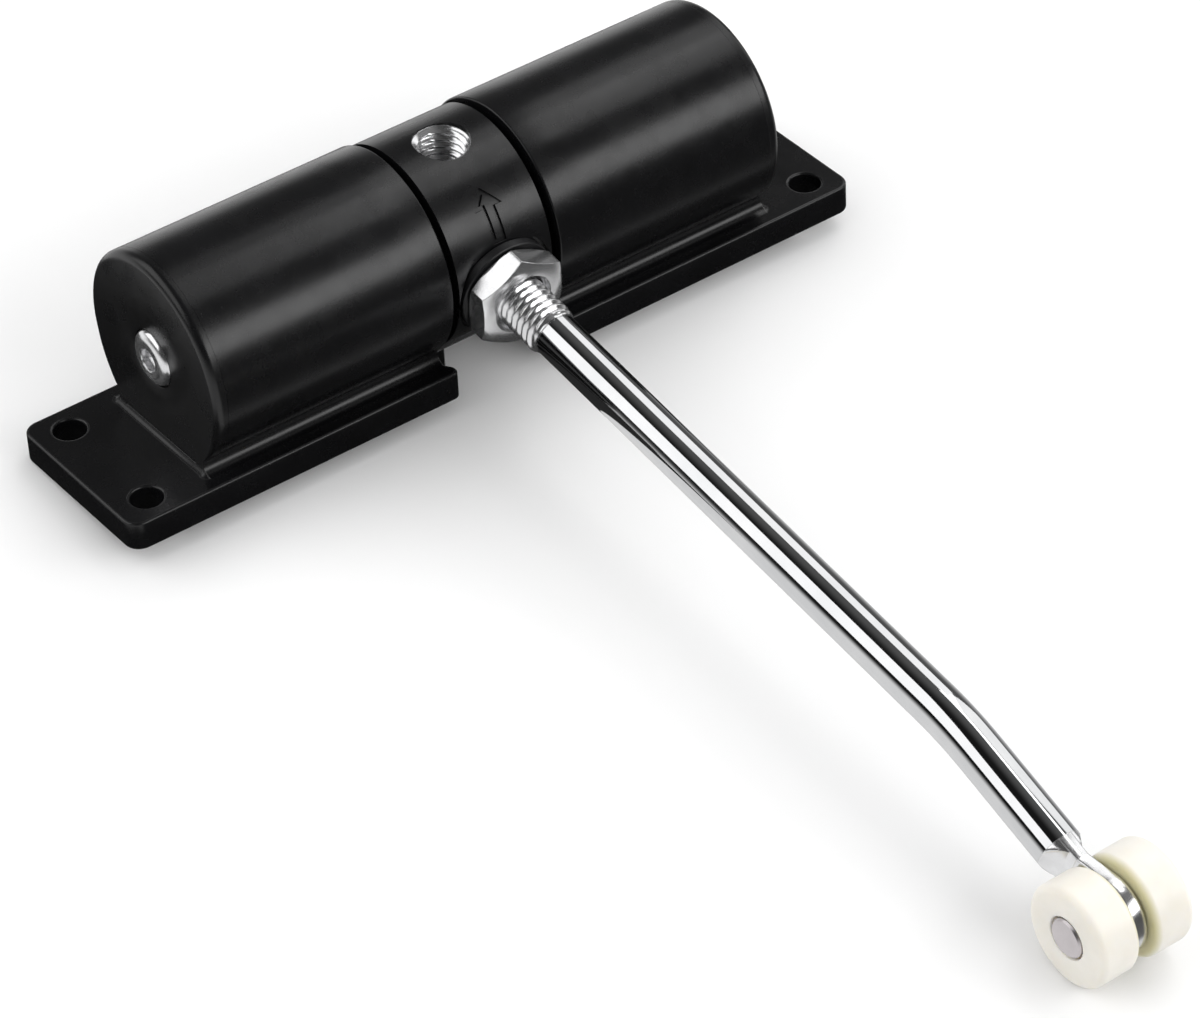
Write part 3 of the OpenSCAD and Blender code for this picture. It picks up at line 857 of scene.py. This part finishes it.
def studio():
    """Dark room over a pale floor, with softboxes where the bright bands come from."""
    world = bpy.data.worlds.new("studio")
    bpy.context.scene.world = world
    world.use_nodes = True
    tree = world.node_tree
    back = tree.nodes["Background"]
    coord = tree.nodes.new("ShaderNodeTexCoord")
    split = tree.nodes.new("ShaderNodeSeparateXYZ")
    tree.links.new(coord.outputs["Generated"], split.inputs[0])

    def ramp(value, low, high, to_low, to_high):
        node = tree.nodes.new("ShaderNodeMapRange")
        node.interpolation_type = "SMOOTHSTEP"
        for socket, number in zip(("From Min", "From Max", "To Min", "To Max"), (low, high, to_low, to_high)):
            node.inputs[socket].default_value = number
        tree.links.new(value, node.inputs["Value"])
        return node.outputs["Result"]

    def combine(operation, a, b):
        node = tree.nodes.new("ShaderNodeMath")
        node.operation = operation
        tree.links.new(a, node.inputs[0])
        tree.links.new(b, node.inputs[1])
        return node.outputs[0]

    def towards(azimuth, elevation, wide, narrow):
        """1 near a direction, 0 outside the wide angle."""
        dot = tree.nodes.new("ShaderNodeVectorMath")
        dot.operation = "DOT_PRODUCT"
        dot.inputs[1].default_value = direction(azimuth, elevation)
        tree.links.new(coord.outputs["Generated"], dot.inputs[0])
        wide, narrow = math.cos(math.radians(wide)), math.cos(math.radians(narrow))
        return ramp(dot.outputs["Value"], wide, narrow, 0.0, 1.0)

    # a white wall low behind the plate, and the pale floor as the metal sees it
    wall = combine("MULTIPLY", ramp(split.outputs["Z"], 0.0, 0.33, 1.0, 0.0),
                   ramp(split.outputs["Y"], 0.45, 0.85, 0.0, 1.0))
    floor_left = combine("MULTIPLY", ramp(split.outputs["Z"], -0.25, 0.14, 0.95, 0.0),
                         ramp(split.outputs["X"], -0.35, 0.25, 1.0, 0.0))
    floor_right = combine("MULTIPLY", ramp(split.outputs["Z"], -0.65, 0.25, 0.74, 0.1),
                          ramp(split.outputs["X"], -0.35, 0.25, 0.0, 1.0))
    bright = combine("MAXIMUM", wall, combine("ADD", floor_left, floor_right))
    shade = towards(35, -9, 50, 26)
    lit = tree.nodes.new("ShaderNodeMath")
    lit.operation = "SUBTRACT"
    lit.inputs[0].default_value = 1.0
    tree.links.new(ramp(shade, 0.0, 1.0, 0.0, 0.9), lit.inputs[1])
    strength = ramp(combine("MULTIPLY", bright, lit.outputs[0]), 0.0, 1.0, 0.012, 1.0)
    strength.node.interpolation_type = "LINEAR"
    tree.links.new(strength, back.inputs["Strength"])
    back.inputs["Color"].default_value = (1, 1, 1, 1)

    softbox("left_back_box", -122, 38, 66, 42, 1.5)
    softbox("right_back_box", 121, 43, 20, 32, 1.25)
    softbox("right_side_box", 98, 33, 18, 48, 1.2)
    softbox("right_top_box", 92, 63, 28, 9, 2.6)
    softbox("front_right_box", 30, 26, 60, 22, 3.6)
    softbox("overhead_fill", 0, 88, 120, 120, 0.72, gloss=False)
    softbox("left_fill", -75, 30, 90, 50, 0.3, gloss=False)
    softbox("right_fill", 60, 30, 90, 50, 0.3, gloss=False)


def camera():
    """The photograph's view: seen from the left front, looking down on the closer."""
    heading, elevation, roll = math.radians(37.109), math.radians(38.979), math.radians(-1.698)
    right = Vector((math.cos(heading), -math.sin(heading), 0))
    ahead = Vector((math.sin(heading) * math.cos(elevation), math.cos(heading) * math.cos(elevation),
                    -math.sin(elevation)))
    up = right.cross(ahead)
    level_right = right * math.cos(roll) + up * math.sin(roll)
    level_up = up * math.cos(roll) - right * math.sin(roll)
    data = bpy.data.cameras.new("view")
    data.sensor_width = 36
    data.lens = 152.59
    data.shift_x = -0.1153
    data.shift_y = 0.004
    data.clip_start = 0.01
    data.clip_end = 50
    obj = bpy.data.objects.new("view", data)
    bpy.context.scene.collection.objects.link(obj)
    turn = Matrix((level_right, level_up, -ahead)).transposed().to_4x4()
    obj.matrix_world = Matrix.Translation(Vector((-407.5, -624.2, 556.1)) * MM) @ turn
    bpy.context.scene.camera = obj


def carried_nodes():
    """The CAD nodes that stay: each gets its slot's procedural material."""
    slots = {row["node"]: row["material_slot"] for row in frame["record"]["subparts"]}
    for name, obj in frame["nodes"].items():
        obj.data.materials.clear()
        obj.data.materials.append(MATERIALS[slots[name]])


carried_nodes()
casting()
cap(1, "end_cap_right")
cap(-1, "end_cap_left")
end_screws()
spare_threads()
arm_washer()
lock_nut()
arm_rod()
roller(-1, "roller_left", "left_roller")
roller(1, "roller_right", "right_roller")
roller_pin()
pale_floor()
floor_shade()
studio()
camera()
bpy.context.scene.view_settings.view_transform = "Standard"
